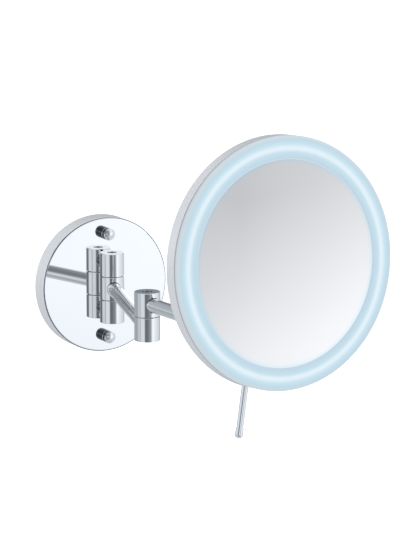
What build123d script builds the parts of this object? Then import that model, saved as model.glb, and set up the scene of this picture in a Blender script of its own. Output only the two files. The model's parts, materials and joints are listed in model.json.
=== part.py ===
from build123d import *
import os
from math import cos, radians, sin

os.makedirs("parts", exist_ok=True)

# An extendable shaving mirror for a bathroom wall. The wall is the plane y = 0, the room is on
# its -Y side, +Z is up and +X is to the right seen from the room. The origin is the centre of
# the rosette on the wall. Sizes are in millimetres, angles in degrees.

# ---- driving sizes -------------------------------------------------------------------------
fit_gap = 0.03            # radial play of a fixed fit
running_gap = 0.05        # radial play of a turning fit

rosette_radius = 60.0
rosette_depth = 17.0
rosette_side_wall = 1.5
rosette_face_wall = 2.0
rosette_edge = 1.6

bracket_radius = 54.0
bracket_thickness = 3.0
bracket_boss_radius = 7.0
bracket_hole_radius = 2.75
bracket_hole_spacing = 50.0

fixing_height = 46.0      # of each fixing stud above and below the centre
stud_radius = 2.5
stud_grip = 6.0           # thread inside the cap nut
cap_radius = 5.3
cap_head = 3.8            # length of the straight side of a cap nut's head
cap_dome_radius = 7.5
cap_neck = 0.6            # length of the neck behind the head
cap_neck_radius = 4.4
cap_sleeve_radius = 3.6
cap_sleeve_gap = 0.2      # between a cap nut's sleeve and the rosette
collar_length = 4.4
collar_radius = 5.3
collar_edge = 0.6
collar_groove = 0.5
collar_groove_place = 1.6 # of the groove in front of the rosette

hub_radius = 10.8
hub_height = 20.4
hub_edge = 0.35
hinge_standoff = 2.9      # free gap between the rosette and the wall hinge
seam = 0.4                # thickness of the friction washers between hubs
washer_inset = 1.6        # of a friction washer behind the hub's side

spacer_radius = 7.0
spacer_sink = 0.8
hinge_screw_radius = 2.0
hinge_screw_head_radius = 3.6
hinge_screw_head_height = 2.4
backing_width = 24.0
backing_height = 58.0
backing_thickness = 3.0

pin_radius = 4.0
pin_flange_radius = 6.5
pin_flange_height = 3.0
clamp_radius = 2.0
clamp_grip = 9.0
clamp_head_radius = 3.2
clamp_head_height = 3.5
clamp_recess = 0.6        # of the screw head below the hub's top
clamp_key_radius = 1.75
clamp_key_depth = 2.0
clamp_slack = 0.5         # between the pin's top and the screw's seat

tube_radius = 6.0
tube_wall = 1.2
tube_seat = 8.6           # of a tube's end from the pivot's axis
socket_bevel = 0.5
plug_length = 14.0
plug_thread_radius = 3.0
plug_thread_end = 5.2     # of the plug's thread from the pivot's axis

arm_1_length = 174.3
arm_1_yaw = -16.3
arm_2_length = 142.1
arm_2_yaw = 4.2
head_yaw = 5.3
head_pitch = 3.9

tongue_reach = 18.5       # from the knuckle's axis to the tilt axis
tongue_thickness = 8.0
tongue_radius = 7.0
tilt_washer_thickness = 0.4
tilt_washer_inset = 1.0
tilt_bolt_radius = 3.0
tilt_head_radius = 5.0
tilt_head_height = 3.0
tilt_nut_radius = 5.6
tilt_nut_height = 4.0
tilt_key_radius = 1.75
tilt_bolt_spare = 1.0     # of thread beyond the nut

tilt_depth = 53.0         # of the tilt axis behind the mirror's face
tilt_drop = 44.1          # of the tilt axis below the mirror's centre
ear_thickness = 4.0
clevis_width = 32.0
clevis_height = 20.0
clevis_thickness = 3.0
clevis_corner = 3.0
clevis_screw_across = 24.0
clevis_screw_up = 12.0

head_radius = 100.0
head_depth = 17.5
casing_wall = 1.8
casing_front_edge = 0.4
casing_rear_edge = 2.0
casing_opening_lap = 6.0  # of the casing's rear wall behind the housing

light_width = 15.6        # of the lit band between the glass and the casing's lip
glass_recess = 0.5        # of the glass's edge behind the face
glass_hollow = 3.0        # of the concave face
glass_least = 2.0         # thickness at the centre
glass_rim = 1.0           # of the flat edge around the concave face
light_thickness = 2.6
light_edge = 2.0          # rounding of the light ring's outer edge
light_inner_edge = 0.4
light_side = 4.7          # depth of the light ring's outer wall
light_seam_edge = 0.3
light_spigot = 2.0        # of the light ring inside the casing
light_spigot_wall = 1.8
light_line_inset = 9.4    # of the row of diodes from the casing's side
light_gap = 0.2
tray_wall = 1.5
tray_floor = 1.6
light_chamber = 7.4       # depth behind the light ring
board_thickness = 1.2
board_width = 10.0
diode_count = 48
diode_size = 3.0
diode_height = 1.2
tray_post_radius = 3.2
tray_post_count = 4

housing_radius = 62.0
housing_wall = 2.0
housing_end = 42.0        # of the housing's back behind the mirror's face
housing_edge = 1.6
housing_flange = 10.0
small_screw_radius = 1.5
small_screw_head_radius = 2.7
small_screw_head_height = 1.6
small_screw_grip = 4.0
small_screw_thread = 3.6  # of a tray screw inside its post
bracket_screw_spare = 1.0 # of a bracket screw inside the housing
housing_screw_inset = 4.1

cell_radius = 7.1
cell_length = 49.2
cell_nub_radius = 2.7
cell_nub_length = 1.3
cell_pitch = 15.0
cell_count = 4
cell_rise = 7.0           # of the cells' middle above the mirror's centre
cell_play = 0.2
battery_floor = 1.5
battery_wall = 1.5
battery_wall_height = 11.0
spring_length = 3.0
spring_radius = 4.6
spring_tip_radius = 2.4
spring_wire = 0.5
contact_thickness = 0.4
contact_size = 12.0

door_lap = 2.0            # of the door over its opening on each side
door_thickness = 2.0
door_gap = 0.2
door_pivot_radius = 1.2
door_barrel_radius = 2.4
door_barrel_length = 22.0
door_ear_length = 5.0
door_screw_radius = 4.0
door_screw_height = 3.0
door_screw_thread = 1.5
door_tab = 10.0
door_corner = 2.0
door_screw_gap = 1.0      # between the door's edge and its screw
door_slot_width = 1.2
door_slot_depth = 1.0
door_foot_overlap = 2.0   # of the barrel's foot on the door

switch_inset = 16.0       # of the switch from the housing's side, to the right seen from the front
switch_radius = 4.2
switch_play = 0.3
switch_proud = 3.0
switch_travel = 1.5
switch_collar = 1.0
switch_collar_lap = 1.0
switch_edge = 0.8
switch_body_floor = 2.0
switch_body_size = 13.0
switch_body_depth = 9.0
switch_wire = 0.3
switch_coil_radius = 2.6
switch_coil_turns = 4

driver_width = 40.0
driver_height = 24.0
driver_thickness = 1.2
driver_leg = 2.5
driver_part_height = 3.0
driver_leg_radius = 1.5
driver_leg_inset = 3.0

handle_depth = 36.0       # of the rod behind the mirror's face
handle_angle = 11.0       # of the rod from straight down, to the left seen from the front
handle_radius = 2.75
handle_end = 141.6        # of the rod's tip from the mirror's centre
handle_tip_radius = 3.2
handle_tip_length = 8.0
handle_socket_radius = 5.2
handle_socket_length = 7.0
handle_socket_sink = 1.0  # of the socket's foot inside the housing's round
handle_thread = 3.0       # of the rod inside the housing's side
handle_hole_spare = 1.0

# ---- places that follow from the sizes -----------------------------------------------------
glass_radius = head_radius - casing_wall - light_width
light_line_radius = head_radius - light_line_inset
casing_opening_radius = housing_radius - casing_opening_lap
housing_screw_ring = housing_radius - housing_screw_inset
switch_across = housing_radius - switch_inset
UP = Vector(0, 0, 1)
pitch = hub_height + seam
hinge_out = rosette_depth + hinge_standoff + hub_radius


def heading(yaw):
    """The level direction into the room that is turned by yaw towards +X."""
    return Vector(sin(radians(yaw)), -cos(radians(yaw)), 0)


def across(axis, yaw, height, distance):
    """The plane square to an arm, at a distance from the pivot's axis."""
    side = Vector(cos(radians(yaw)), sin(radians(yaw)), 0)
    return Plane(axis + heading(yaw) * distance + UP * height, x_dir=side, z_dir=heading(yaw))


def level(axis, height):
    """The level plane on a pivot's axis."""
    return Plane(axis + UP * height, x_dir=(1, 0, 0), z_dir=(0, 0, 1))


def off_wall(distance):
    """The plane parallel to the wall, in front of it, with y up."""
    return Plane((0, -distance, 0), x_dir=(1, 0, 0), z_dir=(0, -1, 0))


hinge_axis = Vector(0, -hinge_out, 0)
elbow_axis = hinge_axis + heading(arm_1_yaw) * arm_1_length
knuckle_axis = elbow_axis + heading(arm_2_yaw) * arm_2_length
hub_bottom = {"hinge_bottom": -1.5 * hub_height - seam, "level_0": -0.5 * hub_height}
hub_bottom["level_1"] = hub_bottom["level_0"] + pitch
hub_bottom["level_2"] = hub_bottom["level_1"] + pitch

tilt_point = knuckle_axis + heading(head_yaw) * tongue_reach + UP * (2 * pitch)
head_right = Vector(cos(radians(head_yaw)), sin(radians(head_yaw)), 0)
head_normal = heading(head_yaw) * cos(radians(head_pitch)) + UP * sin(radians(head_pitch))
head_up = head_right.cross(head_normal) * -1
face_centre = tilt_point + head_normal * tilt_depth + head_up * tilt_drop
face = Plane(face_centre, x_dir=head_right, z_dir=head_normal)
face_section = Plane(face_centre, x_dir=head_right, z_dir=head_up * -1)
face_axis = Axis(face_centre, head_normal)


def behind(depth):
    """The plane parallel to the mirror's face, behind it, with y up."""
    return face.offset(-depth)


def in_head(x, y, depth):
    """A point given to the right of, above and behind the mirror's centre."""
    return face_centre + head_right * x + head_up * y - head_normal * depth


# ---- turned pieces of a pivot --------------------------------------------------------------
arm_socket = (tube_radius, tube_seat, plug_thread_radius, socket_bevel)
spacer_socket = (spacer_radius, hub_radius - spacer_sink, hinge_screw_radius, 0)


def turned_hub(axis, bottom, yaw, socket, screw_seat=False, flange_seat=False):
    """A bored cylinder with a side socket, and seats for the clamping screw and the pin's foot."""
    seat_radius, seat, thread_radius, bevel = socket
    middle = bottom + hub_height / 2
    with BuildPart() as hub:
        with BuildSketch(level(axis, bottom)):
            Circle(hub_radius)
        extrude(amount=hub_height)
        chamfer(hub.edges().filter_by(GeomType.CIRCLE), hub_edge)
        with BuildSketch(level(axis, bottom)):
            Circle(pin_radius + running_gap)
        extrude(amount=hub_height, mode=Mode.SUBTRACT)
        if screw_seat:
            with BuildSketch(level(axis, bottom + hub_height)):
                Circle(clamp_head_radius + 2 * running_gap)
            extrude(amount=-clamp_head_height - clamp_recess, mode=Mode.SUBTRACT)
        if flange_seat:
            with BuildSketch(level(axis, bottom)):
                Circle(pin_flange_radius + running_gap)
            extrude(amount=pin_flange_height, mode=Mode.SUBTRACT)
        with BuildSketch(across(axis, yaw, middle, pin_radius)):
            Circle(thread_radius + fit_gap)
        extrude(amount=hub_radius - pin_radius, mode=Mode.SUBTRACT)
        with BuildSketch(across(axis, yaw, middle, seat)):
            Circle(seat_radius + fit_gap)
        extrude(amount=hub_radius, mode=Mode.SUBTRACT)
        if bevel:
            with Locations(across(axis, yaw, middle, seat).location):
                Cone(
                    seat_radius + fit_gap, seat_radius + fit_gap + bevel, hub_radius - seat,
                    align=(Align.CENTER, Align.CENTER, Align.MIN), mode=Mode.SUBTRACT,
                )
    return hub


def pivot_pin(axis, bottom, top):
    """A pin whose foot sits in the lowest hub, with a threaded hole under the clamping screw."""
    end = top - clamp_head_height - clamp_recess - clamp_slack
    with BuildPart() as pin:
        with BuildSketch(level(axis, bottom)):
            Circle(pin_flange_radius)
        extrude(amount=pin_flange_height)
        with BuildSketch(level(axis, bottom)):
            Circle(pin_radius)
        extrude(amount=end - bottom)
        with BuildSketch(level(axis, end)):
            Circle(clamp_radius + fit_gap)
        extrude(amount=-clamp_grip, mode=Mode.SUBTRACT)
    return pin


def clamp_screw(axis, top):
    """A socket screw that sits below the top of a hub and holds the stack together."""
    head_top = top - clamp_recess
    shank = clamp_head_height + clamp_slack + clamp_grip - clamp_recess
    with BuildPart() as screw:
        with BuildSketch(level(axis, head_top)):
            Circle(clamp_head_radius)
        extrude(amount=-clamp_head_height)
        with BuildSketch(level(axis, head_top)):
            Circle(clamp_radius)
        extrude(amount=-shank)
        with BuildSketch(level(axis, head_top)):
            RegularPolygon(clamp_key_radius, 6)
        extrude(amount=-clamp_key_depth, mode=Mode.SUBTRACT)
    return screw


def friction_washers(axis, bottoms):
    """Washers that fill the seams between hubs."""
    with BuildPart() as washers:
        for bottom in bottoms:
            with BuildSketch(level(axis, bottom)):
                Circle(hub_radius - washer_inset)
                Circle(pin_radius + 2 * running_gap, mode=Mode.SUBTRACT)
            extrude(amount=seam)
    return washers


def arm_tube(axis, yaw, height, length):
    """A straight tube between the sockets of two hubs."""
    with BuildPart() as tube:
        with BuildSketch(across(axis, yaw, height, tube_seat)):
            Circle(tube_radius)
            Circle(tube_radius - tube_wall, mode=Mode.SUBTRACT)
        extrude(amount=length - 2 * tube_seat)
    return tube


def arm_plugs(axis, yaw, height, length):
    """A plug in each end of a tube, with a thread that enters the hub."""
    with BuildPart() as plugs:
        for start, way in ((0, 1), (length, -1)):
            with BuildSketch(across(axis, yaw, height, start + way * tube_seat)):
                Circle(tube_radius - tube_wall - fit_gap)
            extrude(amount=way * plug_length)
            with BuildSketch(across(axis, yaw, height, start + way * tube_seat)):
                Circle(plug_thread_radius)
            extrude(amount=way * (plug_thread_end - tube_seat))
    return plugs


# ---- wall rosette --------------------------------------------------------------------------
fixing_places = [(0, fixing_height), (0, -fixing_height)]
spacer_places = [(0, pitch), (0, -pitch)]
boss_height = rosette_depth - rosette_face_wall - bracket_thickness

with BuildPart() as wall_bracket:
    with BuildSketch(off_wall(0)):
        Circle(bracket_radius)
        with GridLocations(bracket_hole_spacing, bracket_hole_spacing, 2, 2):
            Circle(bracket_hole_radius, mode=Mode.SUBTRACT)
    extrude(amount=bracket_thickness)
    with BuildSketch(off_wall(bracket_thickness)):
        with Locations(*fixing_places):
            Circle(bracket_boss_radius)
    extrude(amount=boss_height)
    with BuildSketch(off_wall(0)):
        with Locations(*fixing_places):
            Circle(stud_radius + fit_gap)
    extrude(amount=rosette_depth, mode=Mode.SUBTRACT)
wall_bracket.part.label = "wall_bracket"

with BuildPart() as rosette:
    with BuildSketch(off_wall(0)):
        Circle(rosette_radius)
    extrude(amount=rosette_depth)
    fillet(rosette.faces().sort_by(Axis.Y)[0].edges(), rosette_edge)
    with BuildSketch(off_wall(0)):
        Circle(rosette_radius - rosette_side_wall)
    extrude(amount=rosette_depth - rosette_face_wall, mode=Mode.SUBTRACT)
    with BuildSketch(off_wall(0)):
        with Locations(*fixing_places):
            Circle(stud_radius + 2 * running_gap)
        with Locations(*spacer_places):
            Circle(hinge_screw_radius + 2 * running_gap)
    extrude(amount=rosette_depth, mode=Mode.SUBTRACT)
rosette.part.label = "rosette"

with BuildPart() as fixing_studs:
    with BuildSketch(off_wall(0)):
        with Locations(*fixing_places):
            Circle(stud_radius)
    extrude(amount=rosette_depth + stud_grip)
fixing_studs.part.label = "fixing_studs"

with BuildPart() as cap_collars:
    with BuildSketch(off_wall(rosette_depth)):
        with Locations(*fixing_places):
            Circle(collar_radius)
            Circle(cap_sleeve_radius + fit_gap, mode=Mode.SUBTRACT)
    extrude(amount=collar_length)
    front_rings = cap_collars.edges().filter_by(GeomType.CIRCLE).group_by(Axis.Y)[0]
    chamfer(front_rings.filter_by(lambda ring: ring.radius > cap_neck_radius), collar_edge)
    with BuildSketch(off_wall(rosette_depth + collar_groove_place)):
        with Locations(*fixing_places):
            Circle(collar_radius + running_gap)
            Circle(collar_radius - collar_groove, mode=Mode.SUBTRACT)
    extrude(amount=collar_groove, mode=Mode.SUBTRACT)
cap_collars.part.label = "cap_collars"

cap_base = rosette_depth + cap_sleeve_gap
cap_seat = collar_length - cap_sleeve_gap
cap_shoulder = cap_seat + cap_neck
cap_side_end = cap_shoulder + cap_head
cap_end = cap_side_end + cap_dome_radius - (cap_dome_radius ** 2 - cap_radius ** 2) ** 0.5
cap_centre = (0, -cap_base, fixing_height)
with BuildPart() as cap_nuts:
    with BuildSketch(Plane(cap_centre, x_dir=(1, 0, 0), z_dir=(0, 0, -1))):
        with BuildLine():
            outline = Polyline(
                (0, 0), (cap_sleeve_radius, 0), (cap_sleeve_radius, cap_seat),
                (cap_neck_radius, cap_seat), (cap_neck_radius, cap_shoulder),
                (cap_radius, cap_shoulder), (cap_radius, cap_side_end),
            )
            TangentArc((0, cap_end), outline @ 1, tangent=(1, 0))
            Line((0, cap_end), (0, 0))
        make_face()
    revolve(axis=Axis(cap_centre, (0, -1, 0)))
    with BuildSketch(off_wall(cap_base)):
        with Locations(fixing_places[0]):
            Circle(stud_radius + fit_gap)
    extrude(amount=stud_grip, mode=Mode.SUBTRACT)
    mirror(about=Plane.XY)
cap_nuts.part.label = "cap_nuts"

backing_back = rosette_depth - rosette_face_wall - backing_thickness
with BuildPart() as backing_plate:
    with BuildSketch(off_wall(backing_back)):
        RectangleRounded(backing_width, backing_height, backing_width / 4)
        with Locations(*spacer_places):
            Circle(hinge_screw_radius + 2 * running_gap, mode=Mode.SUBTRACT)
    extrude(amount=backing_thickness)
backing_plate.part.label = "backing_plate"

spacer_length = hinge_standoff + spacer_sink
with BuildPart() as hinge_spacers:
    with BuildSketch(off_wall(rosette_depth)):
        with Locations(*spacer_places):
            Circle(spacer_radius)
            Circle(hinge_screw_radius + 2 * running_gap, mode=Mode.SUBTRACT)
    extrude(amount=spacer_length)
hinge_spacers.part.label = "hinge_spacers"

hinge_screw_end = hinge_out - plug_thread_end
with BuildPart() as hinge_screws:
    with BuildSketch(off_wall(backing_back)):
        with Locations(*spacer_places):
            Circle(hinge_screw_head_radius)
    extrude(amount=-hinge_screw_head_height)
    with BuildSketch(off_wall(backing_back)):
        with Locations(*spacer_places):
            Circle(hinge_screw_radius)
    extrude(amount=hinge_screw_end - backing_back)
hinge_screws.part.label = "hinge_screws"

# ---- wall hinge ----------------------------------------------------------------------------
towards_wall = 180
hinge_low = hub_bottom["hinge_bottom"]
hinge_high = hub_bottom["level_1"] + hub_height
hinge_bottom = turned_hub(hinge_axis, hinge_low, towards_wall, spacer_socket, flange_seat=True)
hinge_bottom.part.label = "hinge_bottom"
hinge_top = turned_hub(
    hinge_axis, hub_bottom["level_1"], towards_wall, spacer_socket, screw_seat=True)
hinge_top.part.label = "hinge_top"
hinge_spindle = pivot_pin(hinge_axis, hinge_low, hinge_high)
hinge_spindle.part.label = "hinge_spindle"
hinge_clamp_screw = clamp_screw(hinge_axis, hinge_high)
hinge_clamp_screw.part.label = "hinge_clamp_screw"
hinge_washers = friction_washers(
    hinge_axis, (hub_bottom["level_0"] - seam, hub_bottom["level_1"] - seam))
hinge_washers.part.label = "hinge_washers"
hinge_hub = turned_hub(hinge_axis, hub_bottom["level_0"], arm_1_yaw, arm_socket)
hinge_hub.part.label = "hinge_hub"

# ---- arm 1 and the elbow -------------------------------------------------------------------
arm_1_tube = arm_tube(hinge_axis, arm_1_yaw, 0, arm_1_length)
arm_1_tube.part.label = "arm_1_tube"
arm_1_plugs = arm_plugs(hinge_axis, arm_1_yaw, 0, arm_1_length)
arm_1_plugs.part.label = "arm_1_plugs"
elbow_lower_hub = turned_hub(
    elbow_axis, hub_bottom["level_0"], arm_1_yaw + 180, arm_socket, flange_seat=True)
elbow_lower_hub.part.label = "elbow_lower_hub"
elbow_high = hub_bottom["level_1"] + hub_height
elbow_pin = pivot_pin(elbow_axis, hub_bottom["level_0"], elbow_high)
elbow_pin.part.label = "elbow_pin"
elbow_clamp_screw = clamp_screw(elbow_axis, elbow_high)
elbow_clamp_screw.part.label = "elbow_clamp_screw"
elbow_washer = friction_washers(elbow_axis, (hub_bottom["level_1"] - seam,))
elbow_washer.part.label = "elbow_washer"
elbow_upper_hub = turned_hub(
    elbow_axis, hub_bottom["level_1"], arm_2_yaw, arm_socket, screw_seat=True)
elbow_upper_hub.part.label = "elbow_upper_hub"

# ---- arm 2 and the swivel knuckle ----------------------------------------------------------
arm_2_tube = arm_tube(elbow_axis, arm_2_yaw, pitch, arm_2_length)
arm_2_tube.part.label = "arm_2_tube"
arm_2_plugs = arm_plugs(elbow_axis, arm_2_yaw, pitch, arm_2_length)
arm_2_plugs.part.label = "arm_2_plugs"
knuckle_lower_hub = turned_hub(
    knuckle_axis, hub_bottom["level_1"], arm_2_yaw + 180, arm_socket, flange_seat=True)
knuckle_lower_hub.part.label = "knuckle_lower_hub"
knuckle_high = hub_bottom["level_2"] + hub_height
knuckle_pin = pivot_pin(knuckle_axis, hub_bottom["level_1"], knuckle_high)
knuckle_pin.part.label = "knuckle_pin"
knuckle_clamp_screw = clamp_screw(knuckle_axis, knuckle_high)
knuckle_clamp_screw.part.label = "knuckle_clamp_screw"
knuckle_washer = friction_washers(knuckle_axis, (hub_bottom["level_2"] - seam,))
knuckle_washer.part.label = "knuckle_washer"
knuckle_upper_hub = turned_hub(
    knuckle_axis, hub_bottom["level_2"], head_yaw, arm_socket, screw_seat=True)
knuckle_upper_hub.part.label = "knuckle_upper_hub"

# ---- tilt joint ----------------------------------------------------------------------------
tilt_height = 2 * pitch
neck_end = hub_radius + running_gap
blade_length = tongue_reach - neck_end
tongue_side = Plane(tilt_point, x_dir=heading(head_yaw), z_dir=head_right)
with BuildPart() as tilt_tongue:
    with BuildSketch(across(knuckle_axis, head_yaw, tilt_height, plug_thread_end)):
        Circle(plug_thread_radius)
    extrude(amount=tube_seat - plug_thread_end)
    with BuildSketch(across(knuckle_axis, head_yaw, tilt_height, tube_seat)):
        Circle(tube_radius)
    extrude(amount=neck_end - tube_seat)
    with BuildSketch(tongue_side.offset(-tongue_thickness / 2)):
        Circle(tongue_radius)
        with Locations((-blade_length / 2, 0)):
            Rectangle(blade_length, 2 * tongue_radius)
    extrude(amount=tongue_thickness)
    with BuildSketch(tongue_side.offset(-tongue_thickness / 2)):
        Circle(tilt_bolt_radius + running_gap)
    extrude(amount=tongue_thickness, mode=Mode.SUBTRACT)
tilt_tongue.part.label = "tilt_tongue"

ear_inside = tongue_thickness / 2 + tilt_washer_thickness
ear_outside = ear_inside + ear_thickness
clevis_base = tilt_depth - housing_end - clevis_thickness
tilt_plane = Plane(tilt_point, x_dir=head_normal * -1, z_dir=head_right)
with BuildPart() as tilt_bracket:
    with BuildSketch(behind(housing_end)):
        with Locations((0, -tilt_drop)):
            RectangleRounded(clevis_width, clevis_height, clevis_corner)
            with GridLocations(clevis_screw_across, clevis_screw_up, 2, 2):
                Circle(small_screw_radius + 2 * running_gap, mode=Mode.SUBTRACT)
    extrude(amount=-clevis_thickness)
    for side in (-ear_outside, ear_inside):
        with BuildSketch(tilt_plane.offset(side)):
            Circle(tongue_radius)
            with Locations((-clevis_base / 2, 0)):
                Rectangle(clevis_base, 2 * tongue_radius)
            Circle(tilt_bolt_radius + fit_gap, mode=Mode.SUBTRACT)
        extrude(amount=ear_thickness)
tilt_bracket.part.label = "tilt_bracket"

with BuildPart() as tilt_washers:
    for side in (-ear_inside, tongue_thickness / 2):
        with BuildSketch(tilt_plane.offset(side)):
            Circle(tongue_radius - tilt_washer_inset)
            Circle(tilt_bolt_radius + 2 * running_gap, mode=Mode.SUBTRACT)
        extrude(amount=tilt_washer_thickness)
tilt_washers.part.label = "tilt_washers"

bolt_length = 2 * ear_outside + tilt_nut_height + tilt_bolt_spare
with BuildPart() as tilt_bolt:
    with BuildSketch(tilt_plane.offset(-ear_outside)):
        Circle(tilt_bolt_radius)
    extrude(amount=bolt_length)
    with BuildSketch(tilt_plane.offset(-ear_outside)):
        Circle(tilt_head_radius)
    extrude(amount=-tilt_head_height)
    with BuildSketch(tilt_plane.offset(-ear_outside - tilt_head_height)):
        RegularPolygon(tilt_key_radius, 6)
    extrude(amount=tilt_head_height * 0.7, mode=Mode.SUBTRACT)
tilt_bolt.part.label = "tilt_bolt"

with BuildPart() as tilt_nut:
    with BuildSketch(tilt_plane.offset(ear_outside)):
        RegularPolygon(tilt_nut_radius, 6)
        Circle(tilt_bolt_radius + fit_gap, mode=Mode.SUBTRACT)
    extrude(amount=tilt_nut_height)
tilt_nut.part.label = "tilt_nut"

# ---- head: casing, mirror and light --------------------------------------------------------
lip_radius = head_radius - casing_wall
tray_post_ring = (glass_radius + lip_radius) / 2
casing_front = light_side + light_gap
with BuildPart() as rim_casing:
    with BuildSketch(behind(casing_front)):
        Circle(head_radius)
    extrude(amount=casing_front - head_depth)
    front = rim_casing.edges().filter_by(GeomType.CIRCLE).sort_by(Axis.Y)
    chamfer(front[0], casing_front_edge)
    fillet(rim_casing.faces().sort_by(Axis(face_centre, head_normal))[0].edges(), casing_rear_edge)
    with BuildSketch(behind(0)):
        Circle(lip_radius)
    extrude(amount=casing_wall - head_depth, mode=Mode.SUBTRACT)
    with BuildSketch(behind(head_depth)):
        Circle(casing_opening_radius)
        with PolarLocations(housing_screw_ring, 4, start_angle=45):
            Circle(small_screw_radius + 2 * running_gap)
        with PolarLocations(tray_post_ring, tray_post_count, start_angle=45):
            Circle(small_screw_radius + 2 * running_gap)
    extrude(amount=casing_wall, mode=Mode.SUBTRACT)
rim_casing.part.label = "rim_casing"

glass_centre = glass_recess + glass_hollow
glass_back = glass_centre + glass_least
hollow_radius = glass_radius - glass_rim
glass_curve = (hollow_radius ** 2 + glass_hollow ** 2) / (2 * glass_hollow)
curve_centre = face_centre + head_normal * (glass_curve - glass_centre)
with BuildPart() as mirror_glass:
    with BuildSketch(behind(glass_recess)):
        Circle(glass_radius)
    extrude(amount=glass_recess - glass_back)
    with Locations(Plane(curve_centre, x_dir=head_normal, z_dir=head_up)):
        Sphere(glass_curve, mode=Mode.SUBTRACT)
mirror_glass.part.label = "mirror_glass"

light_inner = glass_radius + light_gap
light_outer = lip_radius - light_gap
light_back = light_thickness
spigot_end = light_side + light_spigot
with BuildPart() as light_ring:
    with BuildSketch(face_section) as ring_section:
        with BuildLine():
            Polyline(
                (light_inner, 0), (head_radius, 0), (head_radius, -light_side),
                (light_outer, -light_side), (light_outer, -spigot_end),
                (light_outer - light_spigot_wall, -spigot_end),
                (light_outer - light_spigot_wall, -light_back), (light_inner, -light_back),
                close=True,
            )
        make_face()
        chamfer(ring_section.vertices().sort_by(Axis.X).group_by(Axis.X)[-1].sort_by(Axis.Y)[0],
                light_seam_edge)
        fillet(ring_section.vertices().sort_by(Axis.Y).group_by(Axis.Y)[-1].sort_by(Axis.X)[-1],
               light_edge)
        fillet(ring_section.vertices().sort_by(Axis.Y).group_by(Axis.Y)[-1].sort_by(Axis.X)[0],
               light_inner_edge)
    revolve(axis=face_axis)
light_ring.part.label = "light_ring"

flange_front = light_back + light_chamber
flange_back = flange_front + tray_floor
tray_inner = light_inner
tray_outer = tray_inner + tray_wall
with BuildPart() as reflector_tray:
    with BuildSketch(face_section):
        with BuildLine():
            Polyline(
                (0, -glass_back), (tray_inner, -glass_back), (tray_inner, -light_back),
                (tray_outer, -light_back), (tray_outer, -flange_front),
                (light_outer, -flange_front), (light_outer, -flange_back),
                (tray_inner, -flange_back), (tray_inner, -glass_back - tray_floor),
                (0, -glass_back - tray_floor), close=True,
            )
        make_face()
    revolve(axis=face_axis)
    with BuildSketch(behind(flange_back)):
        with PolarLocations(tray_post_ring, tray_post_count, start_angle=45):
            Circle(tray_post_radius)
    extrude(amount=flange_back - head_depth + casing_wall)
    with BuildSketch(behind(head_depth - casing_wall)):
        with PolarLocations(tray_post_ring, tray_post_count, start_angle=45):
            Circle(small_screw_radius + fit_gap)
    extrude(amount=small_screw_grip, mode=Mode.SUBTRACT)
reflector_tray.part.label = "reflector_tray"


def small_screws(start, ring, grip, way):
    """Four screws on a ring, with their heads on the plane and their shanks along way."""
    with BuildPart() as screws:
        with BuildSketch(start):
            with PolarLocations(ring, 4, start_angle=45):
                Circle(small_screw_head_radius)
        extrude(amount=-way * small_screw_head_height)
        with BuildSketch(start):
            with PolarLocations(ring, 4, start_angle=45):
                Circle(small_screw_radius)
        extrude(amount=way * grip)
        with BuildSketch(start.offset(-way * small_screw_head_height)):
            with PolarLocations(ring, 4, start_angle=45):
                RegularPolygon(small_screw_radius * 0.7, 6)
        extrude(amount=way * small_screw_head_height * 0.7, mode=Mode.SUBTRACT)
    return screws


tray_screws = small_screws(
    behind(head_depth), tray_post_ring, casing_wall + small_screw_thread, 1)
tray_screws.part.label = "tray_screws"

board_back = flange_front
with BuildPart() as light_board:
    with BuildSketch(behind(board_back - board_thickness)):
        Circle(light_line_radius + board_width / 2)
        Circle(light_line_radius - board_width / 2, mode=Mode.SUBTRACT)
    extrude(amount=-board_thickness)
light_board.part.label = "light_board"

with BuildPart() as diodes:
    with BuildSketch(behind(board_back - board_thickness)):
        with PolarLocations(light_line_radius, diode_count):
            Rectangle(diode_size, diode_size)
    extrude(amount=diode_height)
diodes.part.label = "diodes"

# ---- rear housing --------------------------------------------------------------------------
housing_inner = housing_radius - housing_wall
cells_width = cell_count * cell_pitch
bay_height = cell_length + cell_nub_length + 2 * contact_thickness + spring_length + 2 * cell_play
opening_width = cells_width + 2 * cell_play
door_width = opening_width + 2 * door_lap
door_height = bay_height + 2 * door_lap
door_pivot_y = cell_rise + door_height / 2 + door_barrel_radius + door_gap
door_pivot_depth = housing_end + door_barrel_radius + door_gap
door_screw_y = cell_rise - door_height / 2 - door_screw_radius - door_screw_gap
ear_centre = (door_barrel_length + door_ear_length) / 2 + door_gap
handle_way = Vector(-sin(radians(handle_angle)), -cos(radians(handle_angle)), 0)
handle_direction = head_right * handle_way.X + head_up * handle_way.Y


def along_handle(distance):
    """The plane square to the handle rod, at a distance from the mirror's centre line."""
    centre = in_head(0, 0, handle_depth) + handle_direction * distance
    return Plane(centre, x_dir=head_normal, z_dir=handle_direction)


def door_side(offset):
    """The plane square to the door's pivot."""
    return Plane(in_head(offset, door_pivot_y, door_pivot_depth), x_dir=head_up, z_dir=head_right)


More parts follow.
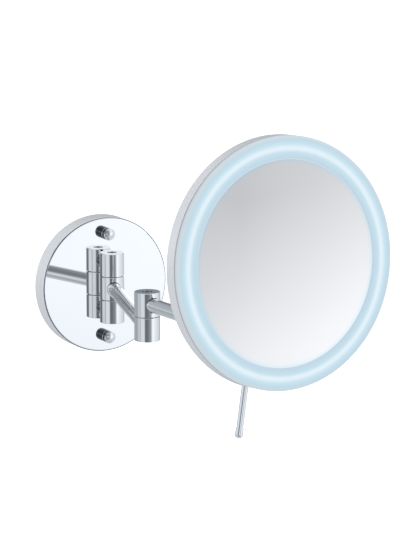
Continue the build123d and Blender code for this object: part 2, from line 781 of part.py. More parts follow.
with BuildPart() as rear_housing:
    with BuildSketch(behind(head_depth)):
        Circle(housing_radius)
    extrude(amount=head_depth - housing_end)
    fillet(rear_housing.faces().sort_by(face_axis)[0].edges(), housing_edge)
    with BuildSketch(behind(head_depth + housing_wall)):
        Circle(housing_inner)
    extrude(amount=head_depth + 2 * housing_wall - housing_end, mode=Mode.SUBTRACT)
    with BuildSketch(behind(head_depth)):
        Circle(housing_radius - housing_flange)
        with PolarLocations(housing_screw_ring, 4, start_angle=45):
            Circle(small_screw_radius + fit_gap)
    extrude(amount=-housing_wall, mode=Mode.SUBTRACT)
    with BuildSketch(behind(housing_end)):
        with Locations((0, cell_rise)):
            Rectangle(opening_width, bay_height)
        with Locations((switch_across, 0)):
            Circle(switch_radius + switch_play)
        with Locations((0, door_screw_y)):
            Circle(door_screw_thread + fit_gap)
        with Locations((0, -tilt_drop)):
            with GridLocations(clevis_screw_across, clevis_screw_up, 2, 2):
                Circle(small_screw_radius + fit_gap)
    extrude(amount=housing_wall, mode=Mode.SUBTRACT)
    for side in (-ear_centre, ear_centre):
        with BuildSketch(door_side(side - door_ear_length / 2)):
            Circle(door_barrel_radius)
            with Locations((0, (door_barrel_radius + door_gap) / 2)):
                Rectangle(2 * door_barrel_radius, door_barrel_radius + door_gap)
            Circle(door_pivot_radius + fit_gap, mode=Mode.SUBTRACT)
        extrude(amount=door_ear_length)
    with BuildSketch(along_handle(housing_radius - handle_thread - handle_hole_spare)):
        Circle(handle_radius + fit_gap)
    extrude(amount=handle_thread + 2 * handle_hole_spare, mode=Mode.SUBTRACT)
rear_housing.part.label = "rear_housing"

housing_screws = small_screws(
    behind(head_depth - casing_wall), housing_screw_ring, casing_wall + housing_wall, -1)
housing_screws.part.label = "housing_screws"

with BuildPart() as bracket_screws:
    for amount, radius in (
        (-small_screw_head_height, small_screw_head_radius),
        (clevis_thickness + housing_wall + bracket_screw_spare, small_screw_radius),
    ):
        with BuildSketch(behind(housing_end + clevis_thickness)):
            with Locations((0, -tilt_drop)):
                with GridLocations(clevis_screw_across, clevis_screw_up, 2, 2):
                    Circle(radius)
        extrude(amount=amount)
bracket_screws.part.label = "bracket_screws"

with BuildPart() as handle_socket:
    with BuildSketch(along_handle(housing_radius - handle_socket_sink)):
        Circle(handle_socket_radius)
        Circle(handle_radius + fit_gap, mode=Mode.SUBTRACT)
    extrude(amount=handle_socket_length)
    with BuildSketch(behind(0)):
        Circle(housing_radius + fit_gap)
    extrude(amount=-2 * housing_end, mode=Mode.SUBTRACT)
handle_socket.part.label = "handle_socket"

rod_start = housing_radius - handle_thread
with BuildPart() as handle_rod:
    with BuildSketch(along_handle(rod_start)):
        Circle(handle_radius)
    extrude(amount=handle_end - handle_tip_length / 2 - rod_start)
handle_rod.part.label = "handle_rod"

with BuildPart() as handle_tip:
    with BuildSketch(along_handle(handle_end - handle_tip_length)):
        Circle(handle_tip_radius)
    extrude(amount=handle_tip_length)
    fillet(handle_tip.faces().sort_by(Axis(face_centre, handle_direction))[-1].edges(),
           handle_tip_radius * 0.8)
    with BuildSketch(along_handle(handle_end - handle_tip_length)):
        Circle(handle_radius + fit_gap)
    extrude(amount=handle_tip_length / 2 + fit_gap, mode=Mode.SUBTRACT)
handle_tip.part.label = "handle_tip"

# ---- power ---------------------------------------------------------------------------------
bay_front = head_depth + housing_wall
bay_floor = bay_front + battery_floor
cell_depth = bay_floor + cell_play + cell_radius
wall_top = bay_floor + battery_wall_height
with BuildPart() as battery_tray:
    with BuildSketch(behind(bay_front)):
        Circle(housing_inner - 2 * light_gap)
    extrude(amount=-battery_floor)
    with BuildSketch(behind(bay_floor)):
        with Locations((0, cell_rise)):
            Rectangle(cells_width + 2 * battery_wall, bay_height + 2 * battery_wall)
            Rectangle(cells_width, bay_height, mode=Mode.SUBTRACT)
    extrude(amount=-battery_wall_height)
battery_tray.part.label = "battery_tray"

cell_columns = [(i - (cell_count - 1) / 2) * cell_pitch for i in range(cell_count)]
cell_ways = [1 if i % 2 == 0 else -1 for i in range(cell_count)]
bay_half = bay_height / 2


def cell_end(column, way, inset):
    """The plane square to a cell, an inset from the bay's end where its plus pole lies."""
    centre = in_head(column, cell_rise + way * (bay_half - inset), cell_depth)
    return Plane(centre, x_dir=head_right, z_dir=head_up * -way)


with BuildPart() as battery_cells:
    for column, way in zip(cell_columns, cell_ways):
        with BuildSketch(cell_end(column, way, contact_thickness + cell_play)):
            Circle(cell_nub_radius)
        extrude(amount=cell_nub_length)
        with BuildSketch(cell_end(column, way, contact_thickness + cell_play + cell_nub_length)):
            Circle(cell_radius)
        extrude(amount=cell_length)
battery_cells.part.label = "battery_cells"

with BuildPart() as contact_plates:
    for column, way in zip(cell_columns, cell_ways):
        for end in (way, -way):
            with BuildSketch(cell_end(column, end, 0)):
                Rectangle(contact_size, contact_size)
            extrude(amount=contact_thickness)
contact_plates.part.label = "contact_plates"

with BuildPart() as contact_springs:
    for column, way in zip(cell_columns, cell_ways):
        base = cell_end(column, -way, contact_thickness)
        section = Plane(base.origin, x_dir=base.x_dir, z_dir=base.x_dir.cross(base.z_dir))
        with BuildSketch(section):
            with BuildLine():
                Polyline(
                    (spring_radius, 0), (spring_tip_radius, spring_length),
                    (spring_tip_radius - spring_wire, spring_length),
                    (spring_radius - spring_wire, 0), close=True,
                )
            make_face()
        revolve(axis=Axis(base.origin, base.z_dir))
contact_springs.part.label = "contact_springs"

with BuildPart() as driver_board:
    with BuildSketch(behind(bay_front)):
        with GridLocations(
            driver_width - 2 * driver_leg_inset, driver_height - 2 * driver_leg_inset, 2, 2):
            Circle(driver_leg_radius)
    extrude(amount=driver_leg)
    with BuildSketch(behind(bay_front - driver_leg)):
        Rectangle(driver_width, driver_height)
    extrude(amount=driver_thickness)
    with BuildSketch(behind(bay_front - driver_leg - driver_thickness)):
        Rectangle(driver_width / 4, driver_height / 3)
        with Locations((driver_width / 3, 0), (-driver_width / 3, 0)):
            Circle(driver_height / 8)
    extrude(amount=driver_part_height)
driver_board.part.label = "driver_board"

# ---- battery door --------------------------------------------------------------------------
door_front = housing_end + door_gap
tab_bottom = door_screw_y - door_screw_radius
tab_height = cell_rise - door_height / 2 - tab_bottom
with BuildPart() as battery_door:
    with BuildSketch(behind(door_front)):
        with Locations((0, cell_rise)):
            RectangleRounded(door_width, door_height, door_corner)
        with Locations((0, tab_bottom + tab_height / 2)):
            Rectangle(door_tab, tab_height)
        with Locations((0, door_screw_y)):
            Circle(door_screw_thread + 2 * running_gap, mode=Mode.SUBTRACT)
    extrude(amount=-door_thickness)
    barrel_foot = door_pivot_y - cell_rise - door_height / 2
    with BuildSketch(door_side(-door_barrel_length / 2)):
        Circle(door_barrel_radius)
        with Locations((-(barrel_foot + door_foot_overlap) / 2, 0)):
            Rectangle(barrel_foot + door_foot_overlap, 2 * door_barrel_radius - door_thickness)
        Circle(door_pivot_radius + running_gap, mode=Mode.SUBTRACT)
    extrude(amount=door_barrel_length)
battery_door.part.label = "battery_door"

pin_half = ear_centre + door_ear_length / 2
with BuildPart() as door_pin:
    with BuildSketch(door_side(-pin_half)):
        Circle(door_pivot_radius)
    extrude(amount=2 * pin_half)
door_pin.part.label = "door_pin"

with BuildPart() as door_screw:
    with BuildSketch(behind(door_front + door_thickness)):
        with Locations((0, door_screw_y)):
            Circle(door_screw_radius)
    extrude(amount=-door_screw_height)
    slot_floor = door_front + door_thickness + door_screw_height
    with BuildSketch(behind(slot_floor)):
        with Locations((0, door_screw_y)):
            Rectangle(3 * door_screw_radius, door_slot_width)
    extrude(amount=door_slot_depth, mode=Mode.SUBTRACT)
    with BuildSketch(behind(door_front + door_thickness)):
        with Locations((0, door_screw_y)):
            Circle(door_screw_thread)
    extrude(amount=door_thickness + door_gap)
door_screw.part.label = "door_screw"

# ---- switch --------------------------------------------------------------------------------
wall_inside = housing_end - housing_wall
collar_front = wall_inside - fit_gap - switch_collar
well_floor = wall_inside - switch_body_depth + switch_body_floor
with BuildPart() as switch_body:
    with BuildSketch(behind(wall_inside)):
        with Locations((switch_across, 0)):
            Rectangle(switch_body_size, switch_body_size)
    extrude(amount=switch_body_depth)
    with BuildSketch(behind(wall_inside)):
        with Locations((switch_across, 0)):
            Circle(switch_radius + switch_collar_lap + switch_play)
    extrude(amount=switch_body_depth - switch_body_floor, mode=Mode.SUBTRACT)
switch_body.part.label = "switch_body"

with BuildPart() as switch_button:
    with BuildSketch(behind(collar_front)):
        with Locations((switch_across, 0)):
            Circle(switch_radius)
    extrude(amount=collar_front - housing_end - switch_proud)
    fillet(switch_button.faces().sort_by(face_axis)[0].edges(), switch_edge)
    with BuildSketch(behind(collar_front)):
        with Locations((switch_across, 0)):
            Circle(switch_radius + switch_collar_lap)
    extrude(amount=-switch_collar)
switch_button.part.label = "switch_button"

coil_height = collar_front - well_floor - 2 * switch_wire
coil_base = Plane(
    in_head(switch_across, 0, well_floor + switch_wire), x_dir=head_right, z_dir=head_normal * -1)
coil_path = coil_base * Helix(
    pitch=coil_height / switch_coil_turns, height=coil_height, radius=switch_coil_radius)
with BuildPart() as switch_spring:
    with BuildSketch(Plane(coil_path @ 0, z_dir=coil_path % 0)):
        Circle(switch_wire)
    sweep(path=coil_path, is_frenet=True)
switch_spring.part.label = "switch_spring"

# ---- files ---------------------------------------------------------------------------------
pieces = (
    wall_bracket, rosette, fixing_studs, cap_collars, cap_nuts, backing_plate, hinge_spacers,
    hinge_screws, hinge_bottom, hinge_top, hinge_spindle, hinge_clamp_screw, hinge_washers,
    hinge_hub, arm_1_tube, arm_1_plugs, elbow_lower_hub, elbow_pin, elbow_clamp_screw,
    elbow_washer, elbow_upper_hub, arm_2_tube, arm_2_plugs, knuckle_lower_hub, knuckle_pin,
    knuckle_clamp_screw, knuckle_washer, knuckle_upper_hub, tilt_tongue, tilt_bracket,
    tilt_washers, tilt_bolt, tilt_nut, rim_casing, mirror_glass, light_ring, reflector_tray,
    tray_screws, light_board, diodes, rear_housing, housing_screws, bracket_screws,
    handle_socket, handle_rod, handle_tip, battery_tray, battery_cells, contact_plates,
    contact_springs, driver_board, battery_door, door_pin, door_screw, switch_body,
    switch_button, switch_spring,
)
for piece in pieces:
    export_step(piece.part, f"parts/{piece.part.label}.step")
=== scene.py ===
import json
import math

import bmesh
import bpy
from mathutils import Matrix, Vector


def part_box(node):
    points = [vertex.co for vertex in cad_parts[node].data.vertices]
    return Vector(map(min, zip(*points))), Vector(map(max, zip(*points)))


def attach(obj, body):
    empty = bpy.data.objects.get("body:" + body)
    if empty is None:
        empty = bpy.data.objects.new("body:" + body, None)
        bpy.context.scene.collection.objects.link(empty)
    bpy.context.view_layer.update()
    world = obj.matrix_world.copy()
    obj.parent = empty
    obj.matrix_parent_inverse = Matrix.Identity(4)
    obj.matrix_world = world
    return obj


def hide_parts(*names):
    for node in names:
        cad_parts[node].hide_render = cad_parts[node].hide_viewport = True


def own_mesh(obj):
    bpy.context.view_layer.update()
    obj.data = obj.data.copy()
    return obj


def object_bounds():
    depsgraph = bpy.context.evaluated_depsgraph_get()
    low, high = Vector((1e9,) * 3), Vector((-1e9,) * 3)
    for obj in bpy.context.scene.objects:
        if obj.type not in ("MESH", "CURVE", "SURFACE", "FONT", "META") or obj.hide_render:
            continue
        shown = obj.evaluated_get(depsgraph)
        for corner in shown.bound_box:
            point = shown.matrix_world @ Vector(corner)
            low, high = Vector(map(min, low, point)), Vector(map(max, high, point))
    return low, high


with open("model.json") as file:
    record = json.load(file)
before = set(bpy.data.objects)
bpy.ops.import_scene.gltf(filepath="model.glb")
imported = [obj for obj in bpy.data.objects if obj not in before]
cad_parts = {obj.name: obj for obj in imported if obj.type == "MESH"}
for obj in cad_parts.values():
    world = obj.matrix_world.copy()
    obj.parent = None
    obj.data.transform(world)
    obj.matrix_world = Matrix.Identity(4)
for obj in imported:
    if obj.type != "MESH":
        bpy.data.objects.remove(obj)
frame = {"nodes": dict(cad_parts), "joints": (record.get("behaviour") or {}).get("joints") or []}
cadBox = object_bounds()
nodes = frame["nodes"]
joints = {joint["name"]: joint for joint in frame["joints"]}
print("shaving mirror loaded:", len(nodes), "pieces")


# wraps a socket, so that shader sums read as ordinary sums
class Wire:
    def __init__(self, bench, socket):
        self.bench, self.socket = bench, socket

    def __add__(self, other):
        return self.bench.sum("ADD", self, other)

    def __radd__(self, other):
        return self.bench.sum("ADD", other, self)

    def __sub__(self, other):
        return self.bench.sum("SUBTRACT", self, other)

    def __rsub__(self, other):
        return self.bench.sum("SUBTRACT", other, self)

    def __mul__(self, other):
        return self.bench.sum("MULTIPLY", self, other)

    def __rmul__(self, other):
        return self.bench.sum("MULTIPLY", other, self)

    def __truediv__(self, other):
        return self.bench.sum("DIVIDE", self, other)

    def __rtruediv__(self, other):
        return self.bench.sum("DIVIDE", other, self)

    def __pow__(self, other):
        return self.bench.sum("POWER", self, other)

    def __rpow__(self, other):
        return self.bench.sum("POWER", other, self)


# the nodes of one finish, or of the room
class Bench:
    def __init__(self, tree):
        self.tree = tree
        tree.nodes.clear()

    def node(self, kind, settings=None, sockets=None, out=0):
        made = self.tree.nodes.new(kind)
        for key, value in (settings or {}).items():
            if key == "stops":
                self.fillRamp(made.color_ramp, value)
            else:
                setattr(made, key, value)
        for key, value in (sockets or {}).items():
            if isinstance(value, Wire):
                self.tree.links.new(value.socket, made.inputs[key])
            else:
                made.inputs[key].default_value = value
        return Wire(self, made.outputs[out]) if made.outputs else None

    def fillRamp(self, ramp, stops):
        ramp.elements.remove(ramp.elements[1])
        for index, (place, colour) in enumerate(stops):
            stop = ramp.elements[0] if index == 0 else ramp.elements.new(place)
            stop.position = place
            stop.color = rgb(colour)

    def sum(self, operation, first, second=0.0):
        return self.node("ShaderNodeMath", {"operation": operation}, {0: first, 1: second})

    def ramp(self, value, stops):
        return self.node("ShaderNodeValToRGB", {"stops": stops}, {"Fac": value})

    def step(self, value, low, high, start=0.0, end=1.0):
        settings = {"interpolation_type": "SMOOTHSTEP"}
        return self.node("ShaderNodeMapRange", settings, {0: value, 1: low, 2: high, 3: start, 4: end})

    def mix(self, factor, first, second):
        colours = [colour if isinstance(colour, Wire) else rgb(colour) for colour in (first, second)]
        sockets = {0: factor, 6: colours[0], 7: colours[1]}
        return self.node("ShaderNodeMix", {"data_type": "RGBA"}, sockets, out=2)

    def noise(self, place, size, detail=3.0, rough=0.55, out=0):
        sockets = {"Vector": place, "Scale": 1 / size, "Detail": detail, "Roughness": rough}
        return self.node("ShaderNodeTexNoise", {}, sockets, out)

    def cells(self, place, size, feature="F1", out=0):
        sockets = {"Vector": place, "Scale": 1 / size}
        return self.node("ShaderNodeTexVoronoi", {"feature": feature}, sockets, out)

    def vector(self, operation, first, second, out=0):
        return self.node("ShaderNodeVectorMath", {"operation": operation}, {0: first, 1: second}, out)

    def along(self, place, direction):
        return self.vector("DOT_PRODUCT", place, tuple(direction), out="Value")

    # how far the surface faces a direction, from -1 to 1
    def facing(self, direction):
        return self.along(self.node("ShaderNodeTexCoord", out="Normal"), direction)

    def bump(self, height, depth, strength=1.0):
        return self.node("ShaderNodeBump", {}, {"Strength": strength, "Distance": depth, "Height": height})


def rgb(colour):
    return (*colour, 1.0)


# one finish: work is a function that gives the shader's sockets from a bench and the place on the piece
def makeFinish(name, work):
    material = bpy.data.materials.new(name)
    material.use_nodes = True
    bench = Bench(material.node_tree)
    place = bench.node("ShaderNodeTexCoord", out="Object")
    shader = bench.node("ShaderNodeBsdfPrincipled", {}, work(bench, place))
    bench.node("ShaderNodeOutputMaterial", {}, {"Surface": shader})
    return material


def middle(name):
    low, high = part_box(name)
    return (low + high) / 2


# how far a piece reaches each way along a direction
def reach(name, direction):
    spots = [corner.co.dot(direction) for corner in nodes[name].data.vertices]
    return min(spots), max(spots)


# the mirror head's own directions, and the point on its axis between the diodes
faceOut = Vector(joints["switch_press"]["axis"]).normalized()
faceRight = Vector(joints["door_hinge"]["axis"]).normalized()
faceUp = faceOut.cross(faceRight)
faceMiddle = middle("diodes")
axisAcross, axisUp = faceMiddle.dot(faceRight), faceMiddle.dot(faceUp)


# where the surface lies, counted from the middle of the diodes along the head's directions
def headPlace(bench, place):
    offset = bench.vector("SUBTRACT", place, tuple(faceMiddle))
    across = bench.along(offset, faceRight)
    upward = bench.along(offset, faceUp)
    return {
        "across": across,
        "upward": upward,
        "depth": bench.along(offset, faceOut),
        "radius": (across * across + upward * upward) ** 0.5,
    }


# polished chrome: bright, with a breath of haze and a few wipe marks
polishedChrome = {
    "tone": (0.97, 0.97, 0.97),
    "haze": (0.945, 0.95, 0.955),
    "hazeSize": 0.035,
    "hazeEdge": (0.4, 0.68),
    "rough": 0.012,
    "wipeRough": 0.03,
    "wipeSize": 0.011,
    "wipeEdge": (0.56, 0.74),
    "waveSize": 0.006,
    "waveDepth": 0.0000003,
}


def polished(bench, place, plate):
    haze = bench.step(bench.noise(place, plate["hazeSize"]), *plate["hazeEdge"])
    wipes = bench.noise(place, plate["wipeSize"], detail=5.0, rough=0.65)
    wiped = bench.step(wipes, *plate["wipeEdge"])
    return bench.mix(haze, plate["tone"], plate["haze"]), plate["rough"] + wiped * plate["wipeRough"]


def chromeWork(bench, place):
    tone, rough = polished(bench, place, polishedChrome)
    wave = bench.noise(place, polishedChrome["waveSize"], detail=2.0)
    return {
        "Base Color": tone,
        "Metallic": 1.0,
        "Roughness": rough,
        "Normal": bench.bump(wave, polishedChrome["waveDepth"]),
    }


# pieces that are polished on the face and satin round the side
satinChrome = {
    "tone": (0.955, 0.95, 0.95),
    "cloud": (0.93, 0.93, 0.935),
    "cloudSize": 0.03,
    "rough": 0.3,
    "metal": 0.4,
    "grainSize": 0.0005,
    "grainRough": 0.08,
    "grainDepth": 0.0000008,
    "grainStrength": 0.3,
    "face": polishedChrome | {"tone": (0.965, 0.965, 0.965), "haze": (0.955, 0.955, 0.96)},
    "blend": 0.0001,  # each side of the line where the satin starts
    "bottomDarkening": (0.90, 0.90, 0.90),  # darker towards the bottom of the face
    "bottomDarkeningShare": 0.6,
    "roll": (0.3, 0.31, 0.33),  # a painted dark reflection round the rolled edge of the face
    "rollStart": 0.85,
    "seam": (0.60, 0.58, 0.62),  # a painted shadow line where the next piece stands
    "seamWidth": 0.0006,
}


# satin behind a plane across the piece; the darkening towards the bottom, the painted dark reflection
# round the rolled edge and the painted shadow line at the seam are extras
def sidedWork(outward, plane, roll=0.0, seam=None, bottomDarkening=None):
    plate = satinChrome

    def work(bench, place):
        tone, rough = polished(bench, place, plate["face"])
        height = bench.along(place, outward)
        side = bench.step(height, plane - plate["blend"], plane + plate["blend"], 1.0, 0.0)
        # the face darker towards the bottom
        if bottomDarkening:
            low = bench.step(bench.along(place, (0, 0, 1)), *bottomDarkening, plate["bottomDarkeningShare"], 0.0)
            tone = bench.mix(low, tone, plate["bottomDarkening"])
        # painted dark reflection round the rolled edge of the face
        if roll:
            rollShade = bench.step(height, plane + roll * plate["rollStart"], plane + roll, 1.0, 0.0)
            tone = bench.mix(rollShade, tone, plate["roll"])
        grain = bench.noise(place, plate["grainSize"])
        satin = bench.mix(bench.noise(place, plate["cloudSize"]), plate["tone"], plate["cloud"])
        # painted shadow line where the next piece stands
        if seam:
            seamShadowMask = bench.step(height, seam - plate["seamWidth"], seam - plate["seamWidth"] / 2)
            satin = bench.mix(seamShadowMask, satin, plate["seam"])
        return {
            "Base Color": bench.mix(side, tone, satin),
            "Metallic": 1 - side * (1 - plate["metal"]),
            "Roughness": rough + side * (plate["rough"] + grain * plate["grainRough"]),
            "Normal": bench.bump(grain, plate["grainDepth"], plate["grainStrength"]),
        }

    return work


# the wall rosette: satin from this far behind its polished face
rosetteEdge = {"satin": 0.00055, "roll": 0.0005}
rosetteLow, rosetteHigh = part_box("rosette")
rosetteWork = sidedWork(
    Vector((0, -1, 0)),
    -rosetteLow[1] - rosetteEdge["satin"],
    # a painted dark reflection round the rolled edge, and the face darker towards the bottom
    roll=rosetteEdge["roll"],
    bottomDarkening=(rosetteLow[2], rosetteHigh[2]),
)
# the mirror's rim: satin all over, so the line lies past its front
rimEdge = {"past": 0.001}
rimFront = reach("rim_casing", faceOut)[1]
# with a painted shadow line where the lit ring stands on the rim
rimWork = sidedWork(faceOut, rimFront + rimEdge["past"], seam=rimFront)

# the cap nuts, their collars and the hinge's spacers: dark sides with a painted dark reflection, and
# bright ends with a painted highlight
darkSided = {
    "cap_collars": {"side": (0.035, 0.037, 0.045), "end": (0.55, 0.56, 0.58), "rough": 0.12},
    "cap_nuts": {"side": (0.06, 0.063, 0.07), "end": (1.0, 1.0, 1.0), "rough": 0.13},
    "hinge_spacers": {"side": (0.15, 0.155, 0.165), "end": (0.55, 0.56, 0.58), "rough": 0.13},
}
# random worn patches, and the facing where the painted bright end begins
wearAndPaintedEnds = {"tone": (0.6, 0.61, 0.63), "size": 0.004, "share": 0.3, "rough": 0.05, "endEdge": (0.15, 0.4)}


def darkSidedWork(plate):
    def work(bench, place):
        # painted highlight on the ends that face the room; the sides keep a painted dark reflection
        end = bench.step(bench.facing((0, -1, 0)), *wearAndPaintedEnds["endEdge"])
        worn = bench.noise(place, wearAndPaintedEnds["size"])
        tone = bench.mix(end, plate["side"], plate["end"])
        return {
            "Base Color": bench.mix(worn * wearAndPaintedEnds["share"], tone, wearAndPaintedEnds["tone"]),
            "Metallic": 1.0,
            "Roughness": plate["rough"] + worn * wearAndPaintedEnds["rough"],
        }

    return work


# stainless steel, brushed along one way
brushedSteel = {
    "light": (0.66, 0.67, 0.69),
    "dark": (0.42, 0.43, 0.45),
    "patchSize": 0.014,
    "patchEdge": (0.3, 0.75),
    "bright": (0.8, 0.81, 0.83),
    "brightShare": 0.25,
    "rough": 0.24,
    "grainSize": 0.00022,
    "grainStretch": (0.05, 1.0, 1.0),
    "grainRough": 0.16,
    "grainDepth": 0.00001,
    "grainStrength": 0.4,
}


def steelWork(bench, place):
    plate = brushedSteel
    stretched = bench.vector("MULTIPLY", place, plate["grainStretch"])
    grain = bench.noise(stretched, plate["grainSize"], detail=4.0, rough=0.7)
    patch = bench.step(bench.noise(place, plate["patchSize"]), *plate["patchEdge"])
    tone = bench.mix(patch, plate["light"], plate["dark"])
    return {
        "Base Color": bench.mix(grain * plate["brightShare"], tone, plate["bright"]),
        "Metallic": 1.0,
        "Roughness": plate["rough"] + grain * plate["grainRough"],
        "Normal": bench.bump(grain, plate["grainDepth"], plate["grainStrength"]),
    }


# the wall bracket and the backing plate: zinc-coated sheet with its frost-like crystals
zincSheet = {
    "light": (0.60, 0.62, 0.64),
    "dark": (0.43, 0.45, 0.47),
    "crystalSize": 0.0045,
    "crystalShare": 0.7,
    "wander": (0.002, 0.002, 0.002),
    "wanderSize": 0.004,
    "grainSize": 0.0003,
    "grainStretch": (1.0, 1.0, 0.08),
    "rough": 0.3,
    "crystalRough": 0.1,
    "grainRough": 0.08,
}


def zincWork(bench, place):
    plate = zincSheet
    drift = bench.vector("MULTIPLY", bench.noise(place, plate["wanderSize"], out=1), plate["wander"])
    shades = bench.cells(bench.vector("ADD", place, drift), plate["crystalSize"], out=1)
    crystal = bench.node("ShaderNodeSeparateColor", {}, {0: shades})
    stretched = bench.vector("MULTIPLY", place, plate["grainStretch"])
    grain = bench.noise(stretched, plate["grainSize"], detail=4.0, rough=0.7)
    shine = crystal * plate["crystalShare"] + grain * (1 - plate["crystalShare"])
    return {
        "Base Color": bench.mix(shine, plate["dark"], plate["light"]),
        "Metallic": 1.0,
        "Roughness": plate["rough"] + crystal * plate["crystalRough"] + grain * plate["grainRough"],
    }


# the concave glass: silver in front, a flat edge with painted light from the lit ring (a bluish tone and a
# glow), grey paint behind
mirrorGlass = {
    "silver": (0.693, 0.668, 0.648),
    "silverWarm": (0.685, 0.664, 0.648),
    "warmSize": 0.05,
    # painted light from the lit ring on the flat edge: a bluish tone and a glow
    "edge": (0.55, 0.585, 0.60),
    "edgeGlow": (0.02, 0.085, 0.125),
    "edgeSpan": (0.0782, 0.0814),  # from the axis
    "edgeRough": 0.05,
    "front": (0.6, 0.7),
    "rough": 0.004,
    "dustRough": 0.02,
    "dustSize": 0.0011,
    "dustEdge": (0.7, 0.86),
    "paint": (0.21, 0.22, 0.235),
    "paintSpeck": (0.3, 0.31, 0.32),
    "paintSpeckSize": 0.0004,
    "paintRough": 0.45,
}


def mirrorWork(bench, place):
    plate = mirrorGlass
    radius = headPlace(bench, place)["radius"]
    front = bench.step(bench.facing(faceOut), *plate["front"])
    # the flat edge, where the ring's light is painted
    edge = bench.step(radius, *plate["edgeSpan"])
    specks = bench.noise(place, plate["dustSize"], detail=2.0, rough=0.7)
    dust = bench.step(specks, *plate["dustEdge"])
    warm = bench.noise(place, plate["warmSize"], detail=2.0)
    tone = bench.mix(edge, bench.mix(warm, plate["silver"], plate["silverWarm"]), plate["edge"])
    paint = bench.mix(bench.noise(place, plate["paintSpeckSize"]), plate["paint"], plate["paintSpeck"])
    polish = plate["paintRough"] - plate["rough"]
    marks = dust * plate["dustRough"] + edge * plate["edgeRough"]
    return {
        "Base Color": bench.mix(front, paint, tone),
        "Metallic": front,
        "Roughness": plate["paintRough"] - front * polish + front * marks,
        # painted glow from the lit ring on the flat edge
        "Emission Color": bench.mix(edge * front, (0, 0, 0), plate["edgeGlow"]),
        "Emission Strength": 1.0,
    }


# the opal ring: cool diffused light with a bright line where the diodes are
opalRing = {
    # distance from the axis, and the light that leaves the ring there
    "profile": [
        (0.0816, (0.47, 0.55, 0.60)),
        (0.0826, (0.44, 0.56, 0.635)),
        (0.0838, (0.428, 0.58, 0.67)),
        (0.0850, (0.434, 0.594, 0.693)),
        (0.0866, (0.456, 0.621, 0.707)),
        (0.0877, (0.514, 0.658, 0.736)),
        (0.0887, (0.600, 0.735, 0.790)),
        (0.0895, (0.655, 0.758, 0.819)),
        (0.0904, (0.675, 0.759, 0.829)),
        (0.0913, (0.638, 0.747, 0.810)),
        (0.0921, (0.579, 0.714, 0.777)),
        (0.0932, (0.502, 0.665, 0.756)),
        (0.0944, (0.454, 0.630, 0.730)),
        (0.0959, (0.434, 0.599, 0.684)),
        (0.0970, (0.443, 0.574, 0.643)),
        (0.0985, (0.481, 0.586, 0.637)),
        (0.1000, (0.515, 0.611, 0.650)),
    ],
    "span": (0.080, 0.101),
    "side": (0.465, 0.515, 0.555),
    "sideEdge": (0.25, 0.85),
    # painted shade at the foot of the ring, where it stands down in the casing
    "foot": (0.37, 0.375, 0.41),
    "footHeight": 0.0023,
    "footStart": 0.6,
    "litEdge": (-0.5, -0.1),
    "litShare": 0.98,
    "milkShare": 0.04,
    "milkSize": 0.009,
    "body": (0.14, 0.15, 0.155),
    "bodyPale": (0.16, 0.17, 0.175),
    "rough": 0.3,
    "milkRough": 0.1,
}


def opalWork(bench, place):
    plate = opalRing
    spot = headPlace(bench, place)
    low, high = plate["span"]
    stops = [((r - low) / (high - low), colour) for r, colour in plate["profile"]]
    light = bench.ramp((spot["radius"] - low) / (high - low), stops)
    milk = bench.noise(place, plate["milkSize"])
    facing = bench.facing(faceOut)
    side = bench.step(facing, *plate["sideEdge"], 1.0, 0.0)
    start = rimFront - faceMiddle.dot(faceOut)  # where the ring stands on the casing
    footTop = start + plate["footHeight"]
    footMiddle = start + plate["footHeight"] * plate["footStart"]
    # painted shade at the foot of the ring, where it stands down in the casing
    foot = bench.step(spot["depth"], footMiddle, footTop, 1.0, 0.0)
    skirt = bench.mix(foot, plate["side"], plate["foot"])
    lit = bench.step(facing, *plate["litEdge"]) * (plate["litShare"] + milk * plate["milkShare"])
    return {
        "Base Color": bench.mix(milk, plate["body"], plate["bodyPale"]),
        "Roughness": plate["rough"] + milk * plate["milkRough"],
        "Emission Color": bench.mix(lit, (0, 0, 0), bench.mix(side, light, skirt)),
        "Emission Strength": 1.0,
        "Specular IOR Level": 0.3,
    }


# moulded plastics, each with its own tone, sheen and fine spark-eroded texture
plastics = {
    "white_plastic": {
        "tone": (0.80, 0.80, 0.78), "other": (0.72, 0.72, 0.70), "rough": 0.32, "grain": 0.00025,
    },
    "grey_plastic": {
        "tone": (0.50, 0.51, 0.52), "other": (0.44, 0.45, 0.465), "rough": 0.26, "grain": 0.00018,
    },
    "black_plastic": {
        "tone": (0.018, 0.018, 0.02), "other": (0.035, 0.035, 0.037), "rough": 0.36, "grain": 0.0003,
    },
    "nylon": {
        "tone": (0.05, 0.05, 0.052), "other": (0.075, 0.075, 0.078), "rough": 0.44, "grain": 0.0002,
    },
}
moulding = {"cloudSize": 0.02, "grainRough": 0.14, "grainDepth": 0.00002, "grainStrength": 0.5}


def plasticWork(plate):
    def work(bench, place):
        cloud = bench.noise(place, moulding["cloudSize"])
        grain = bench.noise(place, plate["grain"], rough=0.6)
        return {
            "Base Color": bench.mix(cloud, plate["tone"], plate["other"]),
            "Roughness": plate["rough"] + grain * moulding["grainRough"],
            "Normal": bench.bump(grain, moulding["grainDepth"], moulding["grainStrength"]),
            "Specular IOR Level": 0.45,
        }

    return work


# the circuit boards: solder mask over copper tracks, with tinned pads
circuitBoard = {
    "mask": (0.012, 0.10, 0.035),
    "track": (0.03, 0.19, 0.06),
    "trackSize": 1 / 260,
    "trackEdge": (0.05, 0.07),
    "tin": (0.70, 0.71, 0.72),
    "padSize": 1 / 210,
    "padEdge": (0.15, 0.17),
    "rough": 0.28,
    "trackRough": 0.06,
    "reliefDepth": 0.00003,
    "reliefStrength": 0.6,
}


